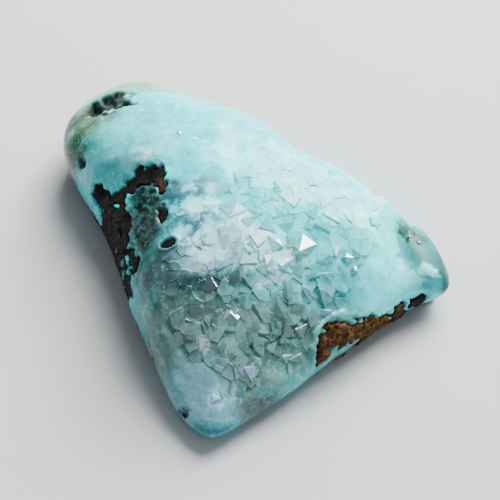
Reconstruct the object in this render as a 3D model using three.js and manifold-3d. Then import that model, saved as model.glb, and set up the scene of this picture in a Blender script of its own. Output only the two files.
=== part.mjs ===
// A rough nugget of gem silica, the blue-green chalcedony coloured by copper.
// The chalcedony is one layer about 7 mm thick, with a field of small quartz crystals grown into its top.
// It still sits on the dark host rock that it grew on, which crops out at the left shoulder and along
// the right-hand front edge. The nugget is hand-ground, so it has a flat base and soft shoulders.
// All sizes are in millimetres. The origin is the middle of the base, +Z is up, +Y runs to the far end.

import * as THREE from "three";
import { ConvexGeometry } from "three/addons/geometries/ConvexGeometry.js";
import * as BufferGeometryUtils from "three/addons/utils/BufferGeometryUtils.js";
import Module from "manifold-3d";

const wasm = await Module();
wasm.setup();

// Driving dimensions
const TOP_HEIGHT = 8.6;          // height of the flat-lying top above the base
const CROWN_RISE = 0.9;          // the polished crown stands this much over the top
const FRONT_FALL = 4.6;          // the top falls this much to the front tip
const RIGHT_STEP = 3.0;          // the right-hand end lies this much lower
const FAR_FALL = 1.2;            // the far left end lies this much lower
const BASE_INSET = 0.16;         // share of the radius by which the flat base is drawn in
const STEPS_AROUND = 66;         // points round the outline
const STEPS_UP = 12;             // rows from the girdle to the middle of the top
const ROCK_LEVEL = 2.0;          // top of the host rock under the chalcedony
const BED_ROWS = 12;             // rows and columns of the bed's uneven top
const BED_COLS = 11;
const GAP = 0.3;                 // clearance between the chalcedony and the rock
const QUARTZ_SLOPE = 51.8;       // degrees, slope of a quartz tip face from the crystal's cross plane
const GRID = 1.44;               // spacing of the quartz crystals
const QUARTZ_EDGE = 0.77;        // strength of the quartz field at which the crystals start
const LEAN_BACK = 14;            // degrees, the most that a crystal's flush face leans, at the back
const LEAN_FRONT = 26;           // and at the front
const ROCK_SLACK = 0.03;         // the rock stays this far inside the ground surface

// Outline of the nugget at its widest, anticlockwise from the right-hand corner
const OUTLINE = [
  [15.9, -3.2], [15.7, -1.4], [15.1, 0.5], [14.2, 1.8], [13.1, 2.2], [12.0, 2.3], [11.2, 3.0], [9.8, 4.5],
  [7.5, 6.0], [5.6, 7.0], [4.6, 7.3], [3.7, 8.2], [1.8, 10.9], [-0.9, 13.3], [-3.8, 14.9], [-5.9, 15.8],
  [-7.6, 17.0], [-9.6, 17.7], [-11.9, 17.4], [-14.2, 15.8], [-15.6, 13.6], [-15.9, 11.2], [-15.3, 8.8],
  [-13.9, 5.9], [-12.4, 3.1], [-11.2, 0.1], [-10.3, -2.7], [-9.4, -5.5], [-8.3, -8.5], [-7.1, -11.5],
  [-5.8, -14.4], [-4.4, -16.2], [-2.9, -17.1], [-1.2, -16.3], [2.6, -13.5], [5.3, -11.1], [8.0, -8.9],
  [10.8, -6.6], [13.4, -4.8], [15.2, -4.0],
];
const CENTRE = [-1.0, 0.0];

// Small helpers
const RAD = Math.PI / 180;
const clamp01 = (t) => Math.min(1, Math.max(0, t));
const ease = (t) => clamp01(t) ** 2 * (3 - 2 * clamp01(t));

// A rounded bump of height 1 at (cx, cy), with half-widths rx and ry, turned by some degrees
function bump(x, y, cx, cy, rx, ry, turn = 0) {
  const c = Math.cos(turn * RAD);
  const s = Math.sin(turn * RAD);
  const u = ((x - cx) * c + (y - cy) * s) / rx;
  const v = ((y - cy) * c - (x - cx) * s) / ry;
  return Math.exp(-(u * u + v * v));
}

// The lesser of two heights, blended over the distance r where they meet
function softMin(a, b, r) {
  const h = Math.max(r - Math.abs(a - b), 0) / r;
  return Math.min(a, b) - (h * h * r) / 4;
}

// A seeded stream of numbers from 0 to 1
function stream(seed) {
  let state = seed;
  return () => {
    state = (state * 16807) % 2147483647;
    return state / 2147483647;
  };
}

// A closed table of numbers, each replaced twice by the mean of its neighbours up to a distance
function smoothed(table, reach) {
  const n = table.length;
  let result = table;
  for (let pass = 0; pass < 2; pass++) {
    result = result.map((_, i) => {
      let sum = 0;
      for (let d = -reach; d <= reach; d++) sum += result[(i + d + n) % n];
      return sum / (2 * reach + 1);
    });
  }
  return result;
}

// The outline as a radius at each half degree round the centre
const STEPS = 720;
const stepAngle = (i) => -Math.PI + (2 * Math.PI * (i + 0.5)) / STEPS;
function outlineRadii() {
  const curve = new THREE.CatmullRomCurve3(
    OUTLINE.map(([x, y]) => new THREE.Vector3(x - CENTRE[0], y - CENTRE[1], 0)), true, "catmullrom", 0.5,
  );
  const points = curve.getPoints(3000).map((p) => [Math.atan2(p.y, p.x), Math.hypot(p.x, p.y)]);
  points.sort((a, b) => a[0] - b[0]);
  const table = [];
  let k = 0;
  for (let i = 0; i < STEPS; i++) {
    while (k < points.length - 1 && points[k][0] < stepAngle(i)) k += 1;
    table.push(points[k][1]);
  }
  return table;
}

function tableAt(table, angle) {
  const t = (((angle + Math.PI) / (2 * Math.PI)) * STEPS - 0.5 + STEPS) % STEPS;
  const i = Math.floor(t);
  return table[i % STEPS] * (1 - (t - i)) + table[(i + 1) % STEPS] * (t - i);
}

// The radius at the widest, and the same with its notches smoothed away for the middle of the top
const sharpRadius = outlineRadii();
const softRadius = smoothed(sharpRadius, 60);

// Fullness of the shoulder's section round the nugget: 2 is an ellipse, and more is squarer
const shoulder = smoothed(sharpRadius.map((r, i) => {
  const x = CENTRE[0] + r * Math.cos(stepAngle(i));
  const y = CENTRE[1] + r * Math.sin(stepAngle(i));
  const front = 1.2 * ease((-4.1 - y) / 9) + ease((x - 2) / 6) * ease((-1.1 - y) / 6);
  return 3.4 - front + 1.8 * ease((x + 1) / 4) * ease((y - 0.5) / 3) * ease((13.5 - x) / 2);
}), 24);

// Height of the ground top, before it turns down into the sides. A valley parts the low right-hand lobe
// from the rest.
function topHeight(x, y) {
  let z = TOP_HEIGHT + CROWN_RISE * bump(x, y, -3.5, 4.9, 7, 5, -35);
  z -= FRONT_FALL * ease((-5.1 - y) / 13);
  z -= RIGHT_STEP * ease((x - 9.9 - 0.25 * (y + 1)) / 2.6);
  z -= FAR_FALL * ease((-10.5 - x) / 5);
  z += 1.0 * bump(x, y, 14.2, -1.8, 1.7, 2.6, 20) - 0.5 * bump(x, y, 11.9, -1.8, 0.9, 2.2, 20);
  z += 0.10 * Math.sin(0.9 * x + 0.4 * y) * Math.sin(0.7 * y - 0.3 * x + 1.0);
  z += 0.05 * Math.sin(1.9 * x - 1.1 * y + 0.6) * Math.sin(1.6 * y + 0.8 * x);
  return z;
}

// The left shoulder is ground to a broad bevel, which falls to the left
function bevelHeight(x, y) {
  const edge = -6.2 - 0.16 * (y + 3.5);
  const off = 6 * (1 - ease((8.5 - y) / 5) * ease((y + 11.5) / 5));
  return 8.9 + 0.85 * (x - edge) + off;
}

// Height of the girdle, which is lower towards the front tip
function girdleHeight(y) {
  return 2.2 + 1.2 * ease((y + 1.1) / 10) - 0.9 * ease((-9.1 - y) / 7);
}

// A closed surface from rows of points, with a middle point at each end
function closeRows(rows, bottom, top) {
  const positions = [bottom, ...rows.flat(), top].flat();
  const n = rows[0].length;
  const at = (row, i) => 1 + row * n + (i % n);
  const last = positions.length / 3 - 1;
  const triangles = [];
  for (let i = 0; i < n; i++) {
    triangles.push(0, at(0, i + 1), at(0, i));
    for (let row = 0; row < rows.length - 1; row++) {
      triangles.push(at(row, i), at(row, i + 1), at(row + 1, i + 1));
      triangles.push(at(row, i), at(row + 1, i + 1), at(row + 1, i));
    }
    triangles.push(last, at(rows.length - 1, i), at(rows.length - 1, i + 1));
  }
  const geometry = new THREE.BufferGeometry();
  geometry.setAttribute("position", new THREE.Float32BufferAttribute(positions, 3));
  geometry.setIndex(triangles);
  return geometry;
}

// The angles of the points round the outline, evenly spaced by length
function outlineAngles(count) {
  const fine = 2000;
  const xy = (i) => {
    const a = -Math.PI + (2 * Math.PI * i) / fine;
    const r = tableAt(sharpRadius, a);
    return [r * Math.cos(a), r * Math.sin(a)];
  };
  const lengths = [0];
  for (let i = 1; i <= fine; i++) {
    const [x0, y0] = xy(i - 1);
    const [x1, y1] = xy(i);
    lengths.push(lengths[i - 1] + Math.hypot(x1 - x0, y1 - y0));
  }
  const angles = [];
  let k = 0;
  for (let i = 0; i < count; i++) {
    const target = (lengths[fine] * i) / count;
    while (lengths[k + 1] < target) k += 1;
    const t = (target - lengths[k]) / (lengths[k + 1] - lengths[k]);
    angles.push(-Math.PI + (2 * Math.PI * (k + t)) / fine);
  }
  return angles;
}

// A point of the nugget's skin: rho is the share of the radius, and lift is the share of the height from
// the girdle to the top; below the girdle, lift is left out and z is given
function skinPoint(angle, rho, lift, z, shrink) {
  const blend = rho * rho;
  const reach = blend * tableAt(sharpRadius, angle) + (1 - blend) * tableAt(softRadius, angle);
  const r = rho * (reach - shrink);
  const x = CENTRE[0] + r * Math.cos(angle);
  const y = CENTRE[1] + r * Math.sin(angle);
  if (lift === null) return [x, y, z];
  const girdle = girdleHeight(y);
  const full = girdle + (topHeight(x, y) - girdle) * lift;
  return [x, y, softMin(full, bevelHeight(x, y), 1.2) - shrink * lift];
}

// The whole ground nugget: a flat base, a rounded lower edge, a girdle and a domed top.
// With shrink, the same shape drawn in by that distance, on the same base.
function nugget(shrink) {
  const angles = outlineAngles(STEPS_AROUND);
  const edge = angles.map((a) => {
    const y = CENTRE[1] + tableAt(sharpRadius, a) * Math.sin(a);
    return { a, girdle: girdleHeight(y), n: tableAt(shoulder, a) };
  });
  const rows = [];
  for (const tilt of [0, 0.35, 0.7]) {
    const s = (tilt * Math.PI) / 2;
    const rho = 1 - BASE_INSET + BASE_INSET * Math.sin(s);
    rows.push(edge.map((e) => skinPoint(e.a, rho, null, e.girdle * (1 - Math.cos(s)), shrink)));
  }
  for (let k = 0; k < STEPS_UP; k++) {
    const s = (Math.PI / 2) * (k / STEPS_UP) ** 0.9;
    rows.push(edge.map((e) => skinPoint(e.a, Math.cos(s) ** (2 / e.n), Math.sin(s), 0, shrink)));
  }
  const top = skinPoint(0, 0, 1, 0, shrink);
  return closeRows(rows, [CENTRE[0], CENTRE[1], 0], top);
}

// Height of the skin over a place, from the same formulas that place its points
function skinHeight(x, y) {
  const a = Math.atan2(y - CENTRE[1], x - CENTRE[0]);
  const r = Math.hypot(x - CENTRE[0], y - CENTRE[1]);
  const sharp = tableAt(sharpRadius, a);
  const soft = tableAt(softRadius, a);
  let low = 0;
  let high = 1;
  for (let k = 0; k < 30; k++) {
    const rho = (low + high) / 2;
    if (rho * (rho * rho * sharp + (1 - rho * rho) * soft) < r) low = rho; else high = rho;
  }
  const lift = Math.sqrt(Math.max(0, 1 - low ** tableAt(shoulder, a)));
  const girdle = girdleHeight(y);
  return softMin(girdle + (topHeight(x, y) - girdle) * lift, bevelHeight(x, y), 1.2);
}

// Geometry to solid and back
function solid(geometry) {
  const bare = geometry.clone();
  for (const name of ["normal", "uv"]) bare.deleteAttribute(name);
  const merged = BufferGeometryUtils.mergeVertices(bare, 1e-5);
  const mesh = new wasm.Mesh({
    numProp: 3,
    vertProperties: new Float32Array(merged.attributes.position.array),
    triVerts: new Uint32Array(merged.index.array),
  });
  return new wasm.Manifold(mesh);
}
function geometryOf(body) {
  const mesh = body.getMesh();
  const geometry = new THREE.BufferGeometry();
  geometry.setAttribute("position", new THREE.BufferAttribute(mesh.vertProperties, 3));
  geometry.setIndex(new THREE.BufferAttribute(mesh.triVerts, 1));
  const flat = geometry.toNonIndexed();
  flat.computeVertexNormals();
  return flat;
}

// A lump of rock: a low ball with an uneven skin
function lump(x, y, z, rx, ry, rz, turn, grow) {
  const ball = new THREE.IcosahedronGeometry(1, 1);
  const p = ball.attributes.position;
  for (let i = 0; i < p.count; i++) {
    const v = new THREE.Vector3().fromBufferAttribute(p, i);
    const k = 1 + 0.13 * Math.sin(4.1 * v.x + 1.7 * x) * Math.sin(3.7 * v.y + 1.3 * y) + 0.08 * Math.sin(7.3 * v.z + x);
    p.setXYZ(i, v.x * (rx * k + grow), v.y * (ry * k + grow), v.z * (rz * k + grow));
  }
  return ball.rotateZ(turn * RAD).translate(x, y, z);
}

// The host rock's knobs that reach the surface, as x, y, two half-widths there and a turn in degrees
const KNOBS = [
  // the jagged arch over the left shoulder, and two small spots beside it
  [-11.7, 3.2, 0.8, 0.9, 0], [-10.4, 3.0, 0.9, 0.9, 0], [-9.2, 3.5, 0.9, 0.9, 20], [-8.1, 3.5, 0.9, 0.9, 0],
  [-7.2, 2.7, 0.7, 1.1, 20], [-7.0, 1.5, 0.5, 0.8, 0], [-6.8, -1.0, 0.35, 0.6, 0], [-6.4, -3.6, 0.6, 0.4, 0],
  // the band down the left wall
  [-10.5, 0.8, 1.0, 1.4, 10], [-10.2, -1.3, 1.0, 1.3, 10], [-9.5, -3.0, 0.9, 1.2, 20], [-9.0, -4.3, 0.7, 0.7, 0],
  [-12.4, 4.3, 0.6, 0.7, 0], [-11.1, 0.6, 0.8, 1.5, 15], [-10.4, -1.8, 0.7, 1.3, 15],
  // the crust along the right-hand front edge
  [5.8, -10.3, 0.9, 0.8, 40], [6.9, -9.2, 1.3, 1.1, 30], [8.3, -8.4, 1.4, 0.8, 35], [10.0, -7.1, 1.3, 0.7, 35],
  [11.7, -6.0, 1.2, 0.6, 30], [13.6, -4.7, 1.1, 0.6, 30],
];

// A knob stands on the bed, and is as wide as stated where it meets the skin
function knob(x, y, rx, ry, turn, grow) {
  const skin = skinHeight(x, y);
  const middle = 0.5 * skin + 0.5;
  return lump(x, y, middle, rx / 0.8, ry / 0.8, (skin - middle) / 0.6, turn, grow);
}

// The host rock before it is trimmed to the ground surface: an uneven bed and the knobs on it
function rock(grow) {
  const bed = new THREE.PlaneGeometry(36, 38, BED_COLS - 1, BED_ROWS - 1);
  const p = bed.attributes.position;
  for (let i = 0; i < p.count; i++) {
    const x = p.getX(i);
    const y = p.getY(i);
    let z = ROCK_LEVEL + 0.35 * Math.sin(0.8 * x + 1) * Math.sin(0.7 * y);
    z -= 2.6 * ease((-7 - y) / 6) + 1.6 * ease((x - 11) / 4);
    z += 1.1 * ease((-9 - x) / 3) * ease((6 - y) / 4);
    p.setZ(i, z + grow);
  }
  const rows = [];
  for (let r = 0; r < BED_ROWS; r++) {
    const row = [];
    for (let c = 0; c < BED_COLS; c++) {
      const i = r * BED_COLS + c;
      row.push([p.getX(i), p.getY(i), p.getZ(i)]);
    }
    rows.push(row);
  }
  return { bedBody: solid(bedSolid(rows)), knobs: KNOBS.map((k) => solid(knob(...k, grow))) };
}

// A grid of heights closed by a flat floor well under the nugget and by four walls
function bedSolid(rows) {
  const floor = -5;
  const nr = rows.length;
  const nc = rows[0].length;
  const positions = [...rows.flat().flat(), ...rows.flat().map(([x, y]) => [x, y, floor]).flat()];
  const up = (r, c) => r * nc + c;
  const low = (r, c) => nr * nc + r * nc + c;
  const triangles = [];
  for (let r = 0; r < nr - 1; r++) {
    for (let c = 0; c < nc - 1; c++) {
      triangles.push(up(r, c), up(r + 1, c), up(r + 1, c + 1), up(r, c), up(r + 1, c + 1), up(r, c + 1));
      triangles.push(low(r, c), low(r + 1, c + 1), low(r + 1, c), low(r, c), low(r, c + 1), low(r + 1, c + 1));
    }
  }
  const wall = (a, b, c, d) => triangles.push(a, b, c, a, c, d);
  for (let c = 0; c < nc - 1; c++) {
    wall(up(0, c), up(0, c + 1), low(0, c + 1), low(0, c));
    wall(up(nr - 1, c + 1), up(nr - 1, c), low(nr - 1, c), low(nr - 1, c + 1));
  }
  for (let r = 0; r < nr - 1; r++) {
    wall(up(r + 1, 0), up(r, 0), low(r, 0), low(r + 1, 0));
    wall(up(r, nc - 1), up(r + 1, nc - 1), low(r + 1, nc - 1), low(r, nc - 1));
  }
  const geometry = new THREE.BufferGeometry();
  geometry.setAttribute("position", new THREE.Float32BufferAttribute(positions, 3));
  geometry.setIndex(triangles);
  return geometry;
}

// A quartz crystal along +Z: a six-sided prism with six sloping tip faces. half is the distance from the
// axis to a side, and length is the length of the body.
function quartz(half, length) {
  const corner = half / Math.cos(30 * RAD);
  const points = [new THREE.Vector3(0, 0, 0)];
  for (let k = 0; k < 6; k++) {
    const x = corner * Math.cos((60 * k + 30) * RAD);
    const y = corner * Math.sin((60 * k + 30) * RAD);
    points.push(new THREE.Vector3(x, y, -half * Math.tan(QUARTZ_SLOPE * RAD)));
    points.push(new THREE.Vector3(0.8 * x, 0.8 * y, -length));
  }
  return new ConvexGeometry(points);
}

// How strongly quartz grows at a place on the top: a field from the front tip to the middle, with an arm
// to the right
function quartzField(x, y) {
  const front = bump(x, y, -1.3, -9.4, 4.6, 5.0, 0) + bump(x, y, 2.8, -6.6, 5.0, 4.8, 0);
  const arm = bump(x, y, 6.2, -1.6, 5.6, 3.6, 0) + 0.8 * bump(x, y, 1.4, -1.0, 3.4, 3.4, 0);
  return front + arm + 0.15 * Math.sin(1.3 * x + 0.5 * y) * Math.sin(1.1 * y);
}

// A crystal turned so that the middle of one tip face is at a place and looks along a direction
function facingQuartz(middle, out, turn, half) {
  const corner = half / Math.cos(30 * RAD);
  const slope = QUARTZ_SLOPE * RAD;
  const face = new THREE.Vector3(Math.sin(slope) * 0.5, Math.sin(slope) * Math.sqrt(0.75), Math.cos(slope));
  const spin = new THREE.Quaternion().setFromAxisAngle(out, turn);
  spin.multiply(new THREE.Quaternion().setFromUnitVectors(face, out));
  const faceMiddle = new THREE.Vector3(corner * Math.sqrt(0.75), corner * 1.5, -2 * half * Math.tan(slope));
  faceMiddle.divideScalar(3).applyQuaternion(spin);
  const shape = quartz(half, half * 1.5 + 0.4);
  shape.applyQuaternion(spin);
  return shape.translate(middle.x - faceMiddle.x, middle.y - faceMiddle.y, middle.z - faceMiddle.z);
}

// The quartz crystals: a jittered grid, so that each grows in a place of its own. One face of each lies
// nearly flush with the ground top, and leans a little from it, more towards the front.
function crystals() {
  const random = stream(4211);
  const bodies = [];
  for (let row = -12; row <= 8; row++) {
    for (let col = -8; col <= 12; col++) {
      const [jx, jy, size, turn, lean, way, rise] = Array.from({ length: 8 }, random);
      const x = GRID * (col + 0.5 * (Math.abs(row) % 2) + 0.5 * (jx - 0.5));
      const y = GRID * 0.866 * (row + 0.6 * (jy - 0.5));
      const z = skinHeight(x, y);
      if (quartzField(x, y) < QUARTZ_EDGE || z < 2.9) continue;
      const slopeX = (skinHeight(x + 0.1, y) - skinHeight(x - 0.1, y)) / 0.2;
      const slopeY = (skinHeight(x, y + 0.1) - skinHeight(x, y - 0.1)) / 0.2;
      const out = new THREE.Vector3(-slopeX, -slopeY, 1).normalize();
      const tilt = Math.tan((LEAN_BACK + (LEAN_FRONT - LEAN_BACK) * ease((-2.5 - y) / 4)) * lean * RAD);
      out.x += tilt * Math.cos(way * 360 * RAD);
      out.y += tilt * Math.sin(way * 360 * RAD);
      out.normalize();
      const middle = new THREE.Vector3(x, y, z).addScaledVector(out, 0.16 + 0.14 * rise);
      bodies.push(solid(facingQuartz(middle, out, turn * 360 * RAD, GRID * (0.34 + 0.26 * size))));
    }
  }
  return bodies;
}

// Put the two pieces together. Where a knob of rock reaches the surface, the chalcedony stops a little
// short of it all round.
const whole = solid(nugget(0));
const inner = solid(nugget(ROCK_SLACK));
const rockBody = rock(0);
const rockRoom = rock(GAP);
let matrixBody = rockBody.bedBody;
for (const body of rockBody.knobs) matrixBody = matrixBody.add(body);
matrixBody = matrixBody.intersect(inner);
let gemBody = whole.subtract(rockRoom.bedBody);
for (const body of rockRoom.knobs) gemBody = gemBody.subtract(body);

// The hollow at the far left end, an open pocket that was never filled
const pocket = lump(-12.0, 13.6, 7.0, 2.2, 1.3, 1.6, 20, 0);
gemBody = gemBody.subtract(solid(pocket));
for (const crystal of crystals()) gemBody = gemBody.add(crystal);

// Slivers that the cuts leave loose are dropped
function largest(body) {
  const pieces = body.decompose();
  return pieces.reduce((best, piece) => (piece.volume() > best.volume() ? piece : best));
}
gemBody = largest(gemBody);
matrixBody = largest(matrixBody);

const gemMaterial = new THREE.MeshStandardMaterial({ color: 0x8fcfcc, roughness: 0.22, metalness: 0 });
const rockMaterial = new THREE.MeshStandardMaterial({ color: 0x3f3022, roughness: 0.85, metalness: 0 });

const gemSilica = new THREE.Mesh(geometryOf(gemBody), gemMaterial);
gemSilica.name = "gem_silica";
const matrix = new THREE.Mesh(geometryOf(matrixBody), rockMaterial);
matrix.name = "matrix";

const group = new THREE.Group();
group.add(gemSilica, matrix);

export default group;
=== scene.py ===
import math

import bpy
import numpy as np
from mathutils import Matrix, Vector


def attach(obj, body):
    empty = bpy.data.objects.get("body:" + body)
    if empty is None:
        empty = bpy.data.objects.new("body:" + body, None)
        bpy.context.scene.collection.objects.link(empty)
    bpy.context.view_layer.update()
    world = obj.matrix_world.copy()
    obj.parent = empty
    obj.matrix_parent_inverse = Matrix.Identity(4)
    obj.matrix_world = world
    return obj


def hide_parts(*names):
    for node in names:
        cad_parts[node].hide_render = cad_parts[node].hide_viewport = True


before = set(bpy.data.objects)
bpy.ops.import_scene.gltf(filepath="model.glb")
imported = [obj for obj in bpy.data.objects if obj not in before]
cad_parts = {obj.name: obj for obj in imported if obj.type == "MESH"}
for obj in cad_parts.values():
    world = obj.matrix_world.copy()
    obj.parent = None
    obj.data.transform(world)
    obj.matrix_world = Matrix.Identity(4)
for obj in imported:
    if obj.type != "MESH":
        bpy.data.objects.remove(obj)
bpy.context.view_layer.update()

# The camera looks down at the nugget from the front, about 50 degrees above the table,
# with a long lens from close by, as the photograph was taken.
MM = 0.001
VIEW_RAISE = math.radians(50)
VIEW_DISTANCE = 130 * MM
view_target = Vector((0, -1.1 * MM, 4.0 * MM))
view_back = Vector((0, -math.cos(VIEW_RAISE), math.sin(VIEW_RAISE)))
camera_data = bpy.data.cameras.new("camera")
camera_data.lens = 117
camera_data.sensor_width = 36
camera_data.clip_start = 0.005
camera_data.clip_end = 5
camera = bpy.data.objects.new("camera", camera_data)
camera.location = view_target + view_back * VIEW_DISTANCE
camera.rotation_mode = "QUATERNION"
camera.rotation_quaternion = view_back.to_track_quat("Z", "Y")
bpy.context.scene.collection.objects.link(camera)
bpy.context.scene.camera = camera


# The ground nugget as a whole: one skin that the chalcedony and the host rock share.
# It was ground by hand, so it has a flat base, soft shoulders, a bevel on its left shoulder and a
# lower right-hand end. Sizes are in millimetres; the outline runs round it at its widest.
OUTLINE = np.array([
    (15.9, -3.2), (15.7, -1.4), (15.1, 0.5), (14.2, 1.8), (13.1, 2.2), (12.0, 2.3), (11.2, 3.0), (9.8, 4.5),
    (7.5, 6.0), (5.6, 7.0), (4.6, 7.3), (3.7, 8.2), (1.8, 10.9), (-0.9, 13.3), (-3.8, 14.9), (-5.9, 15.8),
    (-7.6, 17.0), (-9.6, 17.7), (-11.9, 17.4), (-14.2, 15.8), (-15.6, 13.6), (-15.9, 11.2), (-15.3, 8.8),
    (-13.9, 5.9), (-12.4, 3.1), (-11.2, 0.1), (-10.3, -2.7), (-9.4, -5.5), (-8.3, -8.5), (-7.1, -11.5),
    (-5.8, -14.4), (-4.4, -16.2), (-2.9, -17.1), (-1.2, -16.3), (2.6, -13.5), (5.3, -11.1), (8.0, -8.9),
    (10.8, -6.6), (13.4, -4.8), (15.2, -4.0)])
CENTRE = np.array((-1.0, 0.0))
BASE_INSET = 0.16


def ease(t):
    """A step from 0 to 1 with soft ends: 3t^2 - 2t^3."""
    t = np.clip(t, 0, 1)
    return t * t * (3 - 2 * t)


def bump(x, y, cx, cy, rx, ry, turn=0.0):
    """A rounded bump exp(-(u^2 + v^2)) with half-widths rx and ry, turned by some degrees."""
    c, s = np.cos(np.radians(turn)), np.sin(np.radians(turn))
    u = ((x - cx) * c + (y - cy) * s) / rx
    v = ((y - cy) * c - (x - cx) * s) / ry
    return np.exp(-(u * u + v * v))


def soft_min(a, b, r):
    """The lesser of two heights, blended over the distance r where they meet."""
    h = np.maximum(r - np.abs(a - b), 0) / r
    return np.minimum(a, b) - h * h * r / 4


def smooth_outline(points, steps):
    """A Catmull-Rom curve through the closed outline, as (angle, radius) round the centre."""
    a, b = np.roll(points, 1, 0)[:, None], points[:, None]
    c, d = np.roll(points, -1, 0)[:, None], np.roll(points, -2, 0)[:, None]
    t = (np.arange(steps) / steps)[None, :, None]
    second = (2 * a - 5 * b + 4 * c - d) * t ** 2
    third = (3 * b - a - 3 * c + d) * t ** 3
    curve = 0.5 * (2 * b + (c - a) * t + second + third)
    curve = curve.reshape(-1, 2) - CENTRE
    angle = np.arctan2(curve[:, 1], curve[:, 0])
    order = np.argsort(angle)
    return angle[order], np.hypot(curve[:, 0], curve[:, 1])[order]


table_angle = -np.pi + 2 * np.pi * (np.arange(720) + 0.5) / 720
outline_angle, outline_radius = smooth_outline(OUTLINE, 80)


def smoothed(table, reach):
    """A closed table of numbers, each replaced twice by the mean of its neighbours up to a distance."""
    for _ in range(2):
        table = sum(np.roll(table, d) for d in range(-reach, reach + 1)) / (2 * reach + 1)
    return table


def radius(table, angle):
    """The value at an angle, read from a table of half degrees."""
    return np.interp(angle, table_angle, table, period=2 * np.pi)


# The radius at the widest, the same with its notches smoothed away for the middle of the top, and the
# fullness of the shoulder's section: 2 is an ellipse, and more is squarer
sharp_radius = np.interp(table_angle, outline_angle, outline_radius, period=2 * np.pi)
soft_radius = smoothed(sharp_radius, 60)
edge_x = CENTRE[0] + sharp_radius * np.cos(table_angle)
edge_y = CENTRE[1] + sharp_radius * np.sin(table_angle)
fullness = 3.4 - 1.2 * ease((-4.1 - edge_y) / 9) - ease((edge_x - 2) / 6) * ease((-1.1 - edge_y) / 6)
fullness = fullness + 1.8 * ease((edge_x + 1) / 4) * ease((edge_y - 0.5) / 3) * ease((13.5 - edge_x) / 2)
fullness = smoothed(fullness, 24)


def top_height(x, y):
    """Height of the ground top: level, with a crown, falls to three sides, a valley and a lobe."""
    z = 8.6 + 0.9 * bump(x, y, -3.5, 4.9, 7, 5, -35)
    z = z - 4.6 * ease((-5.1 - y) / 13)
    z = z - 3.0 * ease((x - 9.9 - 0.25 * (y + 1)) / 2.6) - 1.2 * ease((-10.5 - x) / 5)
    z = z + 1.0 * bump(x, y, 14.2, -1.8, 1.7, 2.6, 20) - 0.5 * bump(x, y, 11.9, -1.8, 0.9, 2.2, 20)
    z = z + 0.10 * np.sin(0.9 * x + 0.4 * y) * np.sin(0.7 * y - 0.3 * x + 1.0)
    return z + 0.05 * np.sin(1.9 * x - 1.1 * y + 0.6) * np.sin(1.6 * y + 0.8 * x)


def bevel_height(x, y):
    """The plane of the left shoulder's bevel, lifted out of the way beyond its two ends."""
    edge = -6.2 - 0.16 * (y + 3.5)
    off = 6 * (1 - ease((8.5 - y) / 5) * ease((y + 11.5) / 5))
    return 8.9 + 0.85 * (x - edge) + off


def girdle_height(y):
    """Height of the widest line, lower towards the front tip."""
    return 2.2 + 1.2 * ease((y + 1.1) / 10) - 0.9 * ease((-9.1 - y) / 7)


def skin_grid(around, below, above):
    """Rows of skin points from the base to the middle of the top, shape (rows, around, 3).

    Below the girdle a row's radius is 1 - inset + inset * sin(s) and its height is girdle * (1 - cos(s)).
    Above it the section is a superellipse: radius cos(s)^(2/n), height girdle + (top - girdle) * sin(s).
    """
    fine = np.linspace(-np.pi, np.pi, 4001)
    r = radius(sharp_radius, fine)
    length = np.r_[0, np.cumsum(np.hypot(np.diff(r * np.cos(fine)), np.diff(r * np.sin(fine))))]
    angle = np.interp(np.linspace(0, length[-1], around, endpoint=False), length, fine)
    sharp, soft = radius(sharp_radius, angle), radius(soft_radius, angle)
    low, n = girdle_height(CENTRE[1] + sharp * np.sin(angle)), radius(fullness, angle)

    def place(rho):
        r = rho * (rho ** 2 * sharp + (1 - rho ** 2) * soft)
        return CENTRE[0] + r * np.cos(angle), CENTRE[1] + r * np.sin(angle)

    rows = []
    for s in np.linspace(0, np.pi / 2, below, endpoint=False):
        x, y = place(1 - BASE_INSET + BASE_INSET * np.sin(s) + 0 * angle)
        rows.append(np.stack([x, y, low * (1 - np.cos(s))], -1))
    s = np.linspace(0, np.pi / 2, 4000)
    path = np.r_[0, np.cumsum(np.hypot(12 * np.diff(np.cos(s) ** 0.62), 6 * np.diff(np.sin(s))))]
    for s in np.interp(np.linspace(0, path[-1], above), path, s):
        x, y = place(np.maximum(np.cos(s), 1e-9) ** (2 / n))
        g = girdle_height(y)
        z = soft_min(g + (top_height(x, y) - g) * np.sin(s), bevel_height(x, y), 1.2)
        rows.append(np.stack([x, y, z], -1))
    return np.array(rows)


def skin_height(x, y):
    """Height of the skin over a place: the grid's formula solved for the radius by halving."""
    angle = np.arctan2(y - CENTRE[1], x - CENTRE[0])
    r = np.hypot(x - CENTRE[0], y - CENTRE[1])
    sharp, soft = radius(sharp_radius, angle), radius(soft_radius, angle)
    low, high = np.zeros_like(r), np.ones_like(r)
    for _ in range(30):
        rho = (low + high) / 2
        inside = rho * (rho ** 2 * sharp + (1 - rho ** 2) * soft) < r
        low, high = np.where(inside, rho, low), np.where(inside, high, rho)
    g = girdle_height(y)
    z = g + (top_height(x, y) - g) * np.sqrt(np.maximum(0, 1 - low ** radius(fullness, angle)))
    return soft_min(z, bevel_height(x, y), 1.2)


def noise(points, size, seed=0):
    """Smooth random numbers from -1 to 1: values at the corners of cells of one size, eased between."""
    p = np.asarray(points) / size + 37.0 * seed + 100
    cell = np.floor(p).astype(np.int64)
    f = p - cell
    f = f * f * (3 - 2 * f)
    total = 0
    for corner in range(8):
        d = np.array([corner & 1, corner >> 1 & 1, corner >> 2 & 1])
        k = cell + d
        h = (k[..., 0] * 374761393 + k[..., 1] * 668265263 + k[..., 2] * 1274126177 + seed * 97) & 0xFFFFFFFF
        h = ((h ^ (h >> 13)) * 1103515245) & 0xFFFFFFFF
        value = ((h ^ (h >> 16)) & 0xFFFF) / 32767.5 - 1
        total = total + value * np.prod(np.where(d, f, 1 - f), -1)
    return total


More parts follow.
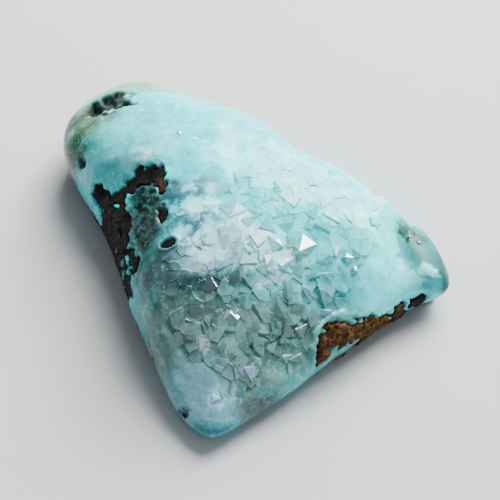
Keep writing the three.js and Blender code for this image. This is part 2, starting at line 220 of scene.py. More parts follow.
def grid_normals(grid):
    """Outward normals of a grid of rows round the centre, from the differences of its neighbours."""
    along = np.roll(grid, -1, 1) - np.roll(grid, 1, 1)
    up = np.gradient(grid, axis=0)
    n = np.cross(along, up)
    length = np.linalg.norm(n, axis=-1, keepdims=True)
    flat = np.array([0, 0, 1.0]) * np.sign(grid[..., 2:] - 1)
    return np.where(length > 1e-9, n / np.maximum(length, 1e-9), flat)


def closed_mesh(name, grid):
    """A smooth mesh from rows of points round an axis, closed by a point at each end."""
    rows, around = grid.shape[:2]
    ends = np.array([grid[0].mean(0), grid[-1].mean(0)])
    points = np.vstack([grid.reshape(-1, 3), ends])
    r, c = np.meshgrid(np.arange(rows - 1), np.arange(around), indexing="ij")
    right = (c + 1) % around
    quads = np.stack([r * around + c, r * around + right, (r + 1) * around + right, (r + 1) * around + c], -1)
    i = np.arange(around)
    j = (i + 1) % around
    first, last = rows * around, rows * around + 1
    fan_low = np.stack([np.full(around, first), j, i], -1)
    top = (rows - 1) * around
    fan_high = np.stack([np.full(around, last), top + i, top + j], -1)
    mesh = bpy.data.meshes.new(name)
    faces = quads.reshape(-1, 4).tolist() + fan_low.tolist() + fan_high.tolist()
    mesh.from_pydata((points * MM).tolist(), [], faces)
    mesh.polygons.foreach_set("use_smooth", np.full(len(faces), True))
    mesh.update()
    piece = bpy.data.objects.new(name, mesh)
    bpy.context.scene.collection.objects.link(piece)
    return piece


def point_values(piece, name, values):
    """Stores one number a vertex, with the mean for the two end points."""
    values = np.r_[values.reshape(-1), values[0].mean(), values[-1].mean()]
    piece.data.attributes.new(name, "FLOAT", "POINT").data.foreach_set("value", values.astype(np.float32))


# Where the host rock reaches the skin: ellipsoids of rock, as a middle on the skin and three
# half-widths. They make the jagged arch and band on the left shoulder, two spots beside it, the
# mottled left wall, and the crust along the right-hand front edge.
OUTCROPS = [
    (-12.5, 4.4, 4.9, 0.45, 0.6, 0.8), (-11.7, 3.3, 5.0, 0.8, 0.7, 0.7), (-11.0, 2.9, 5.7, 0.7, 0.7, 0.6),
    (-10.3, 2.9, 6.4, 0.75, 0.8, 0.7), (-9.6, 3.2, 6.9, 0.75, 0.85, 0.7), (-8.8, 3.5, 7.5, 0.8, 0.85, 0.7),
    (-8.0, 3.4, 8.1, 0.75, 0.9, 0.7), (-7.4, 2.7, 8.4, 0.6, 1.1, 0.7), (-7.0, 1.7, 8.5, 0.4, 0.7, 0.6),
    (-6.8, -1.0, 8.1, 0.38, 0.7, 0.5), (-6.3, -3.7, 7.9, 0.6, 0.34, 0.4), (-11.5, 1.9, 4.9, 0.7, 0.9, 0.8),
    (-10.3, 1.6, 6.1, 0.55, 0.9, 0.6), (-10.0, 0.4, 6.1, 0.5, 0.9, 0.6), (-9.9, -0.6, 6.0, 0.5, 0.6, 0.6),
    (-10.0, -1.6, 5.6, 0.5, 0.9, 0.6), (-9.5, -3.0, 5.6, 0.5, 0.8, 0.6), (-9.0, -4.1, 5.8, 0.45, 0.5, 0.5),
    (-10.8, 1.6, 5.1, 0.8, 1.1, 0.8), (-10.9, 0.2, 4.8, 0.8, 1.2, 0.9), (-10.6, -1.4, 4.6, 0.8, 1.2, 0.9),
    (-10.2, -3.0, 4.6, 0.7, 1.0, 0.9), (-9.8, -4.2, 3.4, 0.9, 1.2, 1.6),
    (-11.6, 0.2, 3.6, 0.9, 2.9, 2.2), (-10.9, -2.4, 3.0, 0.8, 1.8, 1.8), (-10.0, -4.0, 3.6, 0.6, 0.8, 1.2),
    (5.6, -10.6, 3.0, 0.6, 0.7, 1.0), (6.3, -9.7, 3.6, 0.9, 0.8, 0.9), (7.3, -9.1, 3.6, 1.1, 0.8, 1.0),
    (8.5, -8.5, 3.0, 1.1, 0.8, 1.0), (9.6, -7.7, 2.6, 0.9, 0.6, 0.9), (10.7, -6.9, 2.0, 1.0, 0.6, 0.7),
    (12.0, -6.0, 2.0, 1.0, 0.6, 0.7), (13.4, -5.0, 2.1, 0.9, 0.5, 0.6)]


def bed_height(x, y):
    """Top of the bed of host rock under the chalcedony, which runs out before the front tip."""
    z = 1.9 + 0.35 * np.sin(0.8 * x + 1) * np.sin(0.7 * y)
    z = z - 2.6 * ease((-7 - y) / 6) - 1.6 * ease((x - 11) / 4)
    return z + 1.1 * ease((-9 - x) / 3) * ease((6 - y) / 4)


def rock_reach(points):
    """How far inside the host rock a skin point is: above 0 is rock, and the edge is ragged.

    It is the greatest of 1 minus the distance to each outcrop in its own half-widths, and of the
    depth under the bed's top, plus three sizes of noise.
    """
    reach = (bed_height(points[..., 0], points[..., 1]) - points[..., 2]) * 1.2
    reach = np.clip(reach, -1.5, 1)
    for cx, cy, cz, rx, ry, rz in OUTCROPS:
        off = (points - np.array((cx, cy, cz))) / np.array((rx, ry, rz)) / 1.15
        reach = np.maximum(reach, 1 - np.linalg.norm(off, axis=-1))
    ragged = 0.34 * noise(points, 0.75, 3) + 0.30 * noise(points, 0.35, 4) + 0.12 * noise(points, 0.16, 5)
    return reach + ragged * np.exp(-np.maximum(np.abs(reach) - 0.5, 0) * 3)


# The chalcedony layer: gem silica, blue-green and clouded, ground and polished by hand.
# It is one solid with an open pocket at the far left end, and it stands as a thin lip where it meets
# the rock. The top sinks a little where the quartz grows.
AROUND = 600
skin = skin_grid(AROUND, 14, 145)
skin_out = grid_normals(skin)
reach = rock_reach(skin)


def quartz_field(x, y):
    """How strongly quartz grows: two bumps at the front and two for the arm to the right."""
    front = bump(x, y, -1.3, -9.4, 4.6, 5.0) + bump(x, y, 2.8, -6.6, 5.0, 4.8)
    arm = bump(x, y, 6.2, -1.6, 5.6, 3.6) + 0.8 * bump(x, y, 1.4, -1.0, 3.4, 3.4)
    return front + arm + 0.15 * np.sin(1.3 * x + 0.5 * y) * np.sin(1.1 * y)


def milky_field(x, y):
    """The same for the small milky crystals, which also spread thinly over the right-hand top."""
    right = 0.5 * bump(x, y, 4.6, 0.8, 5.6, 4.6) + 0.3 * bump(x, y, 0.5, 4.0, 3.4, 3.0)
    left = 0.6 * bump(x, y, -4.2, -6.0, 2.6, 3.0)
    return (quartz_field(x, y) + right + left) * ease((12 - x) / 2)


def front_share(y):
    """0 at the back of the quartz and 1 at its front."""
    return ease((-2.5 - y) / 4)


def ellipsoid_distance(points, middle, half_widths):
    """Distance from a middle in half-widths, so that 1 is the ellipsoid's surface."""
    return np.linalg.norm((points - np.array(middle)) / np.array(half_widths), axis=-1)


# The offset is how far the ground skin is raised or sunk: slow waves, pits beside the rock, an uneven
# right-hand side, a raised lip at the rock and a step down on it, the hollow of the quartz, the beads on
# the lobe, the pocket, and the chips of the edge, each chip as a middle and a size
EDGE_CHIPS = [
    (-7.9, -9.5, 2.8, 0.32), (-7.6, -10.4, 2.2, 0.3),
    (-5.1, -15.2, 1.7, 0.5), (-13.9, 7.2, 5.3, 0.45)]
x, y, z = skin[..., 0], skin[..., 1], skin[..., 2]
druzy = ease((milky_field(x, y) + 0.2 * noise(skin, 1.6, 14) - 0.32) / 0.3) * ease((z - 2.2) / 1.2)
druzy = druzy * (1 - ease((reach + 0.9) / 0.5))
pocket = 1 - ellipsoid_distance(skin, (-12.2, 13.0, 6.3), (2.9, 1.8, 2.2))
pocket = pocket + 0.32 * noise(skin, 0.8, 6) + 0.22 * noise(skin, 0.35, 7)
beads = np.exp(-ellipsoid_distance(skin, (13.0, 0.5, 4.8), (1.9, 1.3, 1.6)) ** 4)
rough = ease((reach + 1.2) / 1.2)
offset = 0.07 * noise(skin, 2.4, 1) * (1 - 0.6 * bump(x, y, -3, 7, 8, 6)) + 0.02 * noise(skin, 0.8, 15)
offset = offset + 0.04 * noise(skin, 0.6, 2) * rough
offset = offset + 0.09 * noise(skin, 1.0, 17) * ease((x + 2) / 4) * ease((y - 1) / 3)
offset = offset + 0.09 * np.exp(-((reach + 0.35) / 0.25) ** 2) * ease((z - 1) / 2)
offset = offset - 0.45 * ease((reach + 0.1) / 0.25)
offset = offset - druzy * (0.10 + 0.12 * front_share(y) + 0.04 * noise(skin, 0.7, 8))
offset = offset + beads * (0.14 * np.abs(noise(skin, 0.5, 16)) - 0.08)
offset = offset - 0.8 * ease(pocket / 0.6) * (1 + 0.25 * noise(skin, 0.6, 9))
for cx, cy, cz, size in EDGE_CHIPS:
    near = np.linalg.norm(skin - np.array((cx, cy, cz)), axis=-1) / size
    offset = offset - 0.35 * np.exp(-near ** 4) * (1 + 0.5 * noise(skin, 0.25, 10))
body_grid = skin + skin_out * offset[..., None]
body_grid[..., 2] = np.maximum(body_grid[..., 2], 0)
gem_body = closed_mesh("gem_silica_body", body_grid)
lip_strength = np.exp(-((reach + 0.45) / 0.4) ** 2) * ease((z - 1) / 2)
point_values(gem_body, "lip", lip_strength * np.where(x > 4, 1, 0.2))
point_values(gem_body, "hollow", ease((pocket + 0.05) / 0.25))


def new_material(name):
    """An empty node material with its output and a Principled shader joined."""
    material = bpy.data.materials.new(name)
    material.use_nodes = True
    tree = material.node_tree
    tree.nodes.clear()
    shader = tree.nodes.new("ShaderNodeBsdfPrincipled")
    output = tree.nodes.new("ShaderNodeOutputMaterial")
    tree.links.new(shader.outputs["BSDF"], output.inputs["Surface"])
    return material, tree, shader


def add(tree, kind, settings=None, **inputs):
    """A node with its settings. An input goes by its name or, as _0 or _1, by its number.

    It is given as a value or as a socket to link.
    """
    node = tree.nodes.new("ShaderNode" + kind)
    for key, value in (settings or {}).items():
        setattr(node, key, value)
    for key, value in inputs.items():
        socket = node.inputs[int(key[1:])] if key[0] == "_" else node.inputs[key.replace("_", " ")]
        if isinstance(value, bpy.types.NodeSocket):
            tree.links.new(value, socket)
        else:
            socket.default_value = value
    return node


def math_node(tree, operation, a, b=0.0, c=0.0):
    """One number worked out from two or three others."""
    return add(tree, "Math", {"operation": operation}, _0=a, _1=b, _2=c).outputs[0]


def mix_colour(tree, share, a, b, blend="MIX"):
    """A blend of two colours by a share from 0 to 1."""
    node = add(tree, "Mix", {"data_type": "RGBA", "blend_type": blend})
    for index, value in ((0, share), (6, a), (7, b)):
        if isinstance(value, bpy.types.NodeSocket):
            tree.links.new(value, node.inputs[index])
        else:
            node.inputs[index].default_value = value if index == 0 else (*value, 1)
    return node.outputs[2]


def ramp_share(tree, value, low, high):
    """A share from 0 to 1 as a value goes from low to high, with soft ends."""
    settings = {"interpolation_type": "SMOOTHSTEP"}
    return add(tree, "MapRange", settings, _0=value, _1=low, _2=high, _3=0.0, _4=1.0).outputs[0]


def tint_by(tree, share, strength, colour, tint, blend="MIX"):
    """A colour mixed with a tint by a share, and at most by a strength."""
    return mix_colour(tree, math_node(tree, "MULTIPLY", share, strength), colour, tint, blend)


def place_in_mm(tree):
    """The place on the stone in millimetres, from Object coordinates."""
    node = add(tree, "VectorMath", {"operation": "SCALE"}, _0=add(tree, "TexCoord").outputs["Object"])
    node.inputs["Scale"].default_value = 1 / MM
    return node.outputs[0]


def warp_place(tree, place, scale, detail, roughness, amount):
    """The place shifted by a noise, by up to half an amount each way."""
    shift = add(tree, "TexNoise", Vector=place, Scale=scale, Detail=detail, Roughness=roughness)
    settings = {"operation": "MULTIPLY_ADD"}
    moved = add(tree, "VectorMath", settings, _0=shift.outputs["Color"], _1=(amount,) * 3, _2=place)
    half = (amount / 2,) * 3
    return add(tree, "VectorMath", {"operation": "SUBTRACT"}, _0=moved.outputs[0], _1=half).outputs[0]


# A patch of another colour in the stone: a soft ellipsoid round a middle, both in millimetres.
patch = bpy.data.node_groups.new("stone patch", "ShaderNodeTree")
patch.interface.new_socket("Place", in_out="INPUT", socket_type="NodeSocketVector")
patch.interface.new_socket("Middle", in_out="INPUT", socket_type="NodeSocketVector")
patch.interface.new_socket("Half widths", in_out="INPUT", socket_type="NodeSocketVector")
patch.interface.new_socket("Share", in_out="OUTPUT", socket_type="NodeSocketFloat")
group_in = patch.nodes.new("NodeGroupInput")
group_out = patch.nodes.new("NodeGroupOutput")
away = add(patch, "VectorMath", {"operation": "SUBTRACT"}, _0=group_in.outputs[0], _1=group_in.outputs[1])
scaled = add(patch, "VectorMath", {"operation": "DIVIDE"}, _0=away.outputs[0], _1=group_in.outputs[2])
far = add(patch, "VectorMath", {"operation": "LENGTH"}, _0=scaled.outputs[0]).outputs[1]
patch.links.new(ramp_share(patch, far, 1.25, 0.55), group_out.inputs[0])


def patch_share(tree, place, middle, half_widths):
    """The share of one patch at each place."""
    node = tree.nodes.new("ShaderNodeGroup")
    node.node_tree = patch
    tree.links.new(place, node.inputs[0])
    node.inputs[1].default_value = middle
    node.inputs[2].default_value = half_widths
    return node.outputs[0]


# Gem silica's colours by place: bright turquoise over the crown and the right, grey-green at the front,
# olive at the far left end, with white clouds and deep blue-green veils in them. Two small pale spots, one
# under the pocket and one at the left of the crown by the arch, are painted highlights. Each patch is a
# middle, half-widths, a colour and a strength.
AQUA = (0.03, 0.74, 0.78)
PATCHES = [
    ((5.0, 1.0, 8.0), (8.5, 5.5, 4.0), (0.04, 0.98, 0.99), 0.9),
    ((10.5, -4.0, 6.0), (4.0, 4.0, 3.0), (0.16, 0.98, 0.99), 0.85),
    ((-9.5, 7.5, 7.0), (5.5, 4.0, 4.0), (0.11, 0.56, 0.58), 0.8),
    ((-15.0, 10.5, 4.5), (2.8, 4.5, 4.0), (0.012, 0.065, 0.006), 0.95),
    ((-12.5, 11.2, 6.2), (2.6, 1.7, 2.0), (0.12, 0.20, 0.07), 0.75),
    ((-11.0, 16.6, 4.5), (5.0, 2.0, 4.0), (0.20, 0.38, 0.14), 0.85),
    ((-8.0, 15.4, 6.2), (3.6, 2.0, 2.4), (0.19, 0.37, 0.15), 0.8),
    # Painted highlight: a pale spot on the lip below the pocket.
    ((-11.9, 12.0, 7.0), (0.9, 0.5, 0.8), (0.40, 0.80, 0.74), 0.8),
    ((-3.0, -11.0, 4.0), (8.5, 6.5, 5.0), (0.16, 0.27, 0.24), 1.0),
    ((4.0, -9.0, 4.0), (5.0, 3.6, 4.0), (0.11, 0.26, 0.22), 0.95),
    ((-1.0, -10.6, 5.2), (2.8, 2.4, 2.4), (0.24, 0.48, 0.45), 0.8),
    ((1.4, -5.0, 7.8), (3.0, 2.2, 2.2), (0.50, 0.98, 0.99), 0.9),
    ((-6.0, -6.0, 7.0), (4.2, 2.6, 4.0), (0.075, 0.115, 0.115), 0.95),
    ((-2.2, -3.8, 8.0), (3.8, 3.0, 3.0), (0.44, 0.84, 0.94), 0.95),
    ((1.0, -5.8, 7.8), (3.4, 2.0, 2.0), (0.26, 0.80, 0.84), 0.85),
    ((-3.4, -7.3, 7.0), (2.2, 1.1, 1.8), (0.02, 0.06, 0.065), 0.85),
    ((-1.2, -6.9, 7.3), (1.8, 0.8, 1.5), (0.04, 0.11, 0.11), 0.7),
    ((-4.2, -14.4, 3.0), (3.6, 3.2, 3.0), (0.22, 0.48, 0.54), 0.9),
    ((-2.9, -16.6, 1.5), (2.0, 1.0, 1.6), (0.07, 0.22, 0.28), 0.8),
    ((1.2, -14.8, 1.6), (4.6, 1.4, 1.2), (0.11, 0.115, 0.10), 0.85),
    ((-5.0, -1.9, 8.6), (2.1, 1.1, 2.0), (0.05, 0.24, 0.29), 0.85),
    ((-3.9, 1.2, 9.0), (2.2, 1.0, 2.0), (0.30, 0.82, 0.86), 0.8),
    # Painted highlight: a pale patch at the left of the crown by the arch.
    ((-8.6, 5.2, 8.2), (1.9, 0.9, 2.0), (0.30, 0.85, 0.85), 0.8),
    ((9.0, -6.0, 6.0), (3.2, 1.5, 2.0), (0.06, 0.66, 0.78), 0.8),
    ((5.4, -7.8, 6.0), (2.2, 1.2, 2.0), (0.18, 0.80, 0.82), 0.6)]

# Colours that lie over the clouds: the green lobe on the right, with a pale line along its ridge that is a
# painted highlight; painted highlights on the pocket's front lip and at the left of the crown; the dark
# brown and teal inside the arch of rock, partly their own colour and partly painted shade; painted shade on
# the left wall; the blotches beside the arch, flecks round the pocket and chips of the edge; then the pale
# faces of single crystals
DEEP = [
    ((14.2, -1.2, 4.0), (2.3, 3.2, 3.4), (0.008, 0.14, 0.13), 0.95),
    ((16.0, -2.2, 3.0), (1.2, 2.8, 3.4), (0.002, 0.07, 0.055), 0.95),
    ((13.0, 0.1, 4.8), (1.6, 1.1, 1.5), (0.006, 0.11, 0.06), 1.0),
    ((12.2, -1.7, 4.4), (0.5, 1.1, 1.0), (0.02, 0.30, 0.34), 0.8),
    # Painted highlight: a pale line along the edge between the lobe's top and its lower right side.
    ((12.9, -3.9, 3.8), (1.0, 0.5, 0.9), (0.26, 0.90, 0.88), 0.9),
    ((14.2, -3.1, 3.9), (1.0, 0.45, 0.9), (0.26, 0.90, 0.88), 0.9),
    ((-10.7, 12.8, 7.2), (0.9, 0.7, 1.0), (0.03, 0.22, 0.18), 0.9),
    ((-13.9, 13.5, 5.4), (0.9, 0.9, 1.0), (0.18, 0.18, 0.04), 0.8),
    # Painted highlights: two pale spots on the pocket's front lip.
    ((-12.7, 12.0, 6.6), (0.5, 0.3, 0.6), (0.75, 0.90, 0.75), 0.9),
    ((-11.7, 11.7, 7.0), (0.5, 0.3, 0.6), (0.60, 0.90, 0.90), 0.9),
    # Painted highlight: a small white spot at the left of the crown by the arch.
    ((-8.2, 4.9, 8.3), (0.3, 0.4, 0.9), (0.55, 0.97, 0.97), 0.9),
    # Partly painted shade: the dark brown over the arch's floor is partly the stone's own colour and partly
    # stands in for the shade on the left-facing bevel.
    ((-8.2, -0.9, 7.2), (1.9, 4.3, 3.0), (0.034, 0.026, 0.018), 0.95),
    # Painted shade: the chalcedony on the left wall, darkened for the shadow that falls on that side.
    ((-10.8, -1.8, 3.2), (1.4, 2.6, 2.2), (0.012, 0.030, 0.024), 0.75),
    # Partly painted shade: near-black teal inside the arch, darker than the chalcedony's own deep teal, for
    # the shade on the left-facing bevel.
    ((-8.3, 1.3, 7.6), (1.6, 1.7, 1.6), (0.003, 0.013, 0.010), 0.9),
    ((-6.1, 0.9, 8.6), (1.0, 1.4, 2.0), (0.02, 0.07, 0.08), 0.85),
    ((-6.3, -4.6, 7.8), (1.3, 1.1, 1.5), (0.015, 0.05, 0.055), 0.6),
    ((-4.3, -0.6, 8.8), (0.9, 0.7, 1.5), (0.40, 0.93, 0.95), 0.8),
    ((-5.4, -2.9, 8.4), (0.9, 0.5, 1.5), (0.36, 0.90, 0.92), 0.7),
    ((-4.7, 0.5, 8.9), (0.8, 0.4, 1.5), (0.04, 0.16, 0.20), 0.8),
    ((-2.0, -7.1, 7.2), (1.6, 0.7, 1.5), (0.03, 0.08, 0.08), 0.6),
    ((-4.2, -7.2, 6.8), (1.1, 0.6, 1.5), (0.015, 0.045, 0.05), 0.7),
    ((-7.9, -9.5, 2.8), (0.32, 0.4, 0.5), (0.002, 0.008, 0.007), 0.95),
    ((-7.6, -10.4, 2.2), (0.3, 0.4, 0.5), (0.002, 0.008, 0.007), 0.95),
    ((-5.1, -15.3, 1.7), (0.7, 0.4, 0.5), (0.002, 0.008, 0.007), 0.95),
    ((-13.9, 7.2, 5.3), (0.4, 0.6, 0.7), (0.004, 0.02, 0.016), 0.9),
    ((-3.6, -11.2, 5.0), (0.7, 0.6, 0.7), (0.60, 0.85, 0.90), 0.8),
    ((-1.7, -9.5, 6.4), (0.8, 0.7, 0.8), (0.36, 0.56, 0.56), 0.6),
    ((0.0, -12.9, 3.8), (0.6, 0.6, 0.7), (0.32, 0.52, 0.80), 0.85),
    ((-2.6, -14.8, 2.9), (0.5, 0.9, 0.6), (0.40, 0.80, 1.0), 0.8)]
for step in range(9):
    DEEP.append(((-4.2 + 0.6 * step, 6.4 - 0.55 * step, 9.3), (0.42, 0.14, 3.0), (0.50, 0.95, 0.95), 0.8))

gem_colour = bpy.data.node_groups.new("gem silica colour", "ShaderNodeTree")
gem_colour.interface.new_socket("Colour", in_out="OUTPUT", socket_type="NodeSocketColor")
tree = gem_colour
place = place_in_mm(tree)
warped = warp_place(tree, place, 0.45, 6.0, 0.65, 4.4)
colour = add(tree, "RGB").outputs[0]
colour.default_value = (*AQUA, 1)
twisted = warp_place(tree, place, 1.1, 5.0, 0.6, 1.8)
for middle, half_widths, tint, strength in PATCHES:
    where = twisted if min(half_widths) < 2 else warped
    share = patch_share(tree, where, middle, half_widths)
    colour = tint_by(tree, share, strength, colour, tint)
clouds = add(tree, "TexNoise", Vector=warped, Scale=0.6, Detail=8.0, Roughness=0.66)
veil = ramp_share(tree, clouds.outputs[0], 0.52, 0.30)
colour = tint_by(tree, veil, 0.75, colour, (0.42, 0.70, 0.76), "MULTIPLY")
white = ramp_share(tree, clouds.outputs[0], 0.50, 0.72)
lighter = mix_colour(tree, 0.55, colour, (0.27, 0.95, 0.95))
colour = tint_by(tree, white, 0.7, colour, lighter)
mottle = add(tree, "TexNoise", Vector=place, Scale=2.0, Detail=7.0, Roughness=0.7, Distortion=0.6).outputs[0]
dim = ramp_share(tree, mottle, 0.53, 0.38)
colour = tint_by(tree, dim, 0.65, colour, (0.40, 0.76, 0.80), "MULTIPLY")
fleck = ramp_share(tree, mottle, 0.55, 0.68)
colour = tint_by(tree, fleck, 0.5, colour, (0.38, 0.97, 0.97))
knots = patch_share(tree, warped, (-4.6, -1.4, 8.5), (3.0, 3.6, 3.0))
threads = add(tree, "TexNoise", Vector=place, Scale=0.9, Detail=7.0, Roughness=0.68, Distortion=0.4)
dark_knots = math_node(tree, "MULTIPLY", ramp_share(tree, threads.outputs[0], 0.54, 0.46), knots)
colour = tint_by(tree, dark_knots, 0.9, colour, (0.03, 0.13, 0.16))
white_knots = math_node(tree, "MULTIPLY", ramp_share(tree, threads.outputs[0], 0.55, 0.62), knots)
colour = tint_by(tree, white_knots, 0.7, colour, (0.28, 0.90, 0.94))
for middle, half_widths, tint, strength in DEEP:
    share = patch_share(tree, twisted, middle, half_widths)
    colour = tint_by(tree, share, strength, colour, tint)
arch_place = patch_share(tree, twisted, (-8.3, -0.2, 7.3), (1.7, 3.6, 2.6))
green_veins = math_node(tree, "MULTIPLY", ramp_share(tree, mottle, 0.50, 0.60), arch_place)
colour = tint_by(tree, green_veins, 0.75, colour, (0.05, 0.24, 0.23))
brown_veins = math_node(tree, "MULTIPLY", ramp_share(tree, mottle, 0.47, 0.40), arch_place)
colour = tint_by(tree, brown_veins, 0.9, colour, (0.006, 0.005, 0.003))
tree.links.new(colour, tree.nodes.new("NodeGroupOutput").inputs[0])


def stone_colour(tree):
    """The gem silica's colour, for a material that shares it."""
    node = tree.nodes.new("ShaderNodeGroup")
    node.node_tree = gem_colour
    return node.outputs[0]


def scatter(shader, weight, depth):
    """Light that scatters under the skin down to a depth in millimetres, the red less deep."""
    shader.inputs["Subsurface Weight"].default_value = weight
    shader.inputs["Subsurface Radius"].default_value = (0.6, 1.0, 1.0)
    shader.inputs["Subsurface Scale"].default_value = depth * MM


material, tree, shader = new_material("chalcedony")
place = place_in_mm(tree)
colour = stone_colour(tree)
threads = add(tree, "TexNoise", Vector=place, Scale=1.4, Detail=6.0, Roughness=0.65)
lip = add(tree, "Attribute", {"attribute_name": "lip"}).outputs["Fac"]
lip_noise = math_node(tree, "MULTIPLY", lip, ramp_share(tree, threads.outputs[0], 0.40, 0.6))
colour = tint_by(tree, lip_noise, 0.4, colour, (0.22, 0.72, 0.70))
bead_place = patch_share(tree, place, (13.0, 0.5, 4.8), (2.0, 1.5, 1.8))
pits = math_node(tree, "MULTIPLY", ramp_share(tree, threads.outputs[0], 0.47, 0.40), bead_place)
colour = tint_by(tree, pits, 0.9, colour, (0.008, 0.04, 0.03))
hollow = add(tree, "Attribute", {"attribute_name": "hollow"}).outputs["Fac"]
speckle = ramp_share(tree, threads.outputs[0], 0.50, 0.72)
# Inside the pocket: near-black with greener speckles, partly its dark lining and partly painted shade of the
# hollow; lit_side is painted light on the pocket's right-hand wall.
inside = mix_colour(tree, speckle, (0.002, 0.007, 0.004), (0.05, 0.10, 0.06))
lit_side = patch_share(tree, place, (-10.9, 13.6, 6.9), (1.1, 1.0, 1.4))
inside = mix_colour(tree, lit_side, inside, (0.12, 0.21, 0.16))
colour = tint_by(tree, hollow, 0.97, colour, inside)
tree.links.new(colour, shader.inputs["Base Color"])
grain = add(tree, "TexNoise", Vector=place, Scale=6.0, Detail=4.0, Roughness=0.6)
rough_share = math_node(tree, "MULTIPLY_ADD", grain.outputs[0], 0.14, 0.10)
rough_share = math_node(tree, "MULTIPLY_ADD", hollow, 0.5, rough_share)
lobe_place = patch_share(tree, place, (14.2, -0.8, 4.2), (2.6, 3.6, 3.2))
rough_share = math_node(tree, "MULTIPLY_ADD", lobe_place, 0.30, rough_share)
tree.links.new(rough_share, shader.inputs["Roughness"])
relief = add(tree, "Bump", Strength=0.25, Distance=0.00005, Height=grain.outputs[0])
tree.links.new(relief.outputs[0], shader.inputs["Normal"])
shader.inputs["IOR"].default_value = 1.54
shader.inputs["Specular IOR Level"].default_value = 0.25
scatter(shader, 0.35, 1.2)
gem_body.data.materials.append(material)
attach(gem_body, "root")
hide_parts("gem_silica")


# The host rock: dark brown, iron-stained and granular, with small bright grains. Its base browns are
# partly its own dark colour and partly painted shade, darkened for the shadowed left wall and arch.
# One closed body 0.9 mm or more under the chalcedony's skin, which comes out through it at the outcrops.
bare = ease((reach + 0.05) / 0.18)
lumps = 0.10 * noise(skin, 0.9, 11) + 0.09 * noise(skin, 0.42, 12) + 0.05 * noise(skin, 0.2, 13)
crust = ease((x - 4) / 1) * ease((-4 - y) / 1)
rock_offset = -0.9 + bare * (0.86 + lumps * (0.7 + 0.9 * crust) + 0.10 * crust)
rock_grid = skin + skin_out * rock_offset[..., None]
least = np.where(np.arange(len(skin)) < 14, 0.2, 0.3)[:, None]
under = np.maximum(np.minimum(rock_grid[..., 2], bed_height(x, y)), least)
shown = ease((reach + 0.6) / 0.4)
rock_grid[..., 2] = np.maximum(shown * rock_grid[..., 2] + (1 - shown) * under, 0)
rock = closed_mesh("host_rock", rock_grid)
material, tree, shader = new_material("host rock")
place = place_in_mm(tree)
blotch = add(tree, "TexNoise", Vector=place, Scale=1.6, Detail=6.0, Roughness=0.65)
stain = ramp_share(tree, blotch.outputs[0], 0.40, 0.62)
# Painted shade in part: these near-black browns are darker than the rock's own colour, standing in for the
# shadow on the left wall and in the arch.
colour = mix_colour(tree, stain, (0.0015, 0.0015, 0.001), (0.012, 0.009, 0.006))
front_edge = patch_share(tree, place, (8.5, -8.5, 2.5), (6.5, 4.0, 3.0))
rusty_spot = patch_share(tree, place, (-7.0, 2.0, 8.3), (0.7, 0.8, 0.8))
rusty_spot = math_node(tree, "MULTIPLY", rusty_spot, 0.4)
front_edge = math_node(tree, "MAXIMUM", front_edge, rusty_spot)
grains = add(tree, "TexVoronoi", Vector=place, Scale=4.5)
colour = tint_by(tree, front_edge, 0.7, colour, (0.056, 0.025, 0.005))
golden = math_node(tree, "MULTIPLY", front_edge, ramp_share(tree, grains.outputs["Color"], 0.45, 0.8))
colour = tint_by(tree, golden, 0.8, colour, (0.21, 0.095, 0.018))
tree.links.new(colour, shader.inputs["Base Color"])
flecks = add(tree, "TexVoronoi", Vector=place, Scale=7.0)
glint = ramp_share(tree, flecks.outputs["Color"], 0.72, 0.80)
tree.links.new(math_node(tree, "MULTIPLY_ADD", glint, -0.55, 0.8), shader.inputs["Roughness"])
fine = add(tree, "TexNoise", Vector=place, Scale=9.0, Detail=5.0, Roughness=0.7)
relief = add(tree, "Bump", Strength=0.7, Distance=0.00012, Height=fine.outputs[0])
tree.links.new(relief.outputs[0], shader.inputs["Normal"])
shader.inputs["Specular IOR Level"].default_value = 0.2
rock.data.materials.append(material)
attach(rock, "root")
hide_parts("matrix")


# Druzy quartz: small clear crystals that grew out of the chalcedony, each a six-sided prism with a
# six-faced tip, leaning its own way and grown into its neighbours. A few catch the light.
QUARTZ_SLOPE = math.radians(51.8)
SPARKLE_PLACE = Vector((140, 200, 150))


def number_stream(seed):
    """Random numbers from 0 to 1, the same on every run: each is 16807 times the last one's state."""
    state = seed
    while True:
        state = state * 16807 % 2147483647
        yield state / 2147483647


def quartz_points(half, length):
    """A crystal's 13 points: the tip, six shoulder corners below it, and six at the foot."""
    angle = np.radians(60 * np.arange(6) + 30)
    ring = half / math.cos(math.radians(30)) * np.stack([np.cos(angle), np.sin(angle), 0 * angle], -1)
    tip = np.zeros((1, 3))
    shoulder = ring + np.array((0, 0, -half * math.tan(QUARTZ_SLOPE)))
    foot = ring * 0.8 + np.array((0, 0, -length))
    return np.vstack([tip, shoulder, foot])


QUARTZ_FACES = [[0, 1 + k, 1 + (k + 1) % 6] for k in range(6)]
QUARTZ_FACES += [[1 + k, 7 + k, 7 + (k + 1) % 6, 1 + (k + 1) % 6] for k in range(6)]
QUARTZ_FACES += [[12, 11, 10, 9, 8, 7]]


def facing_crystal(middle, out, turn, half):
    """A crystal turned so that the middle of one tip face is at a place and looks along a direction."""
    points = quartz_points(half, half * 1.5 + 0.4)
    across, along = math.sin(QUARTZ_SLOPE), math.cos(QUARTZ_SLOPE)
    face = Vector((across * 0.5, across * 0.75 ** 0.5, along))
    turned = points @ np.array(Matrix.Rotation(turn, 3, out) @ face.rotation_difference(out).to_matrix()).T
    return turned - turned[:3].mean(0) + np.array(middle), QUARTZ_FACES


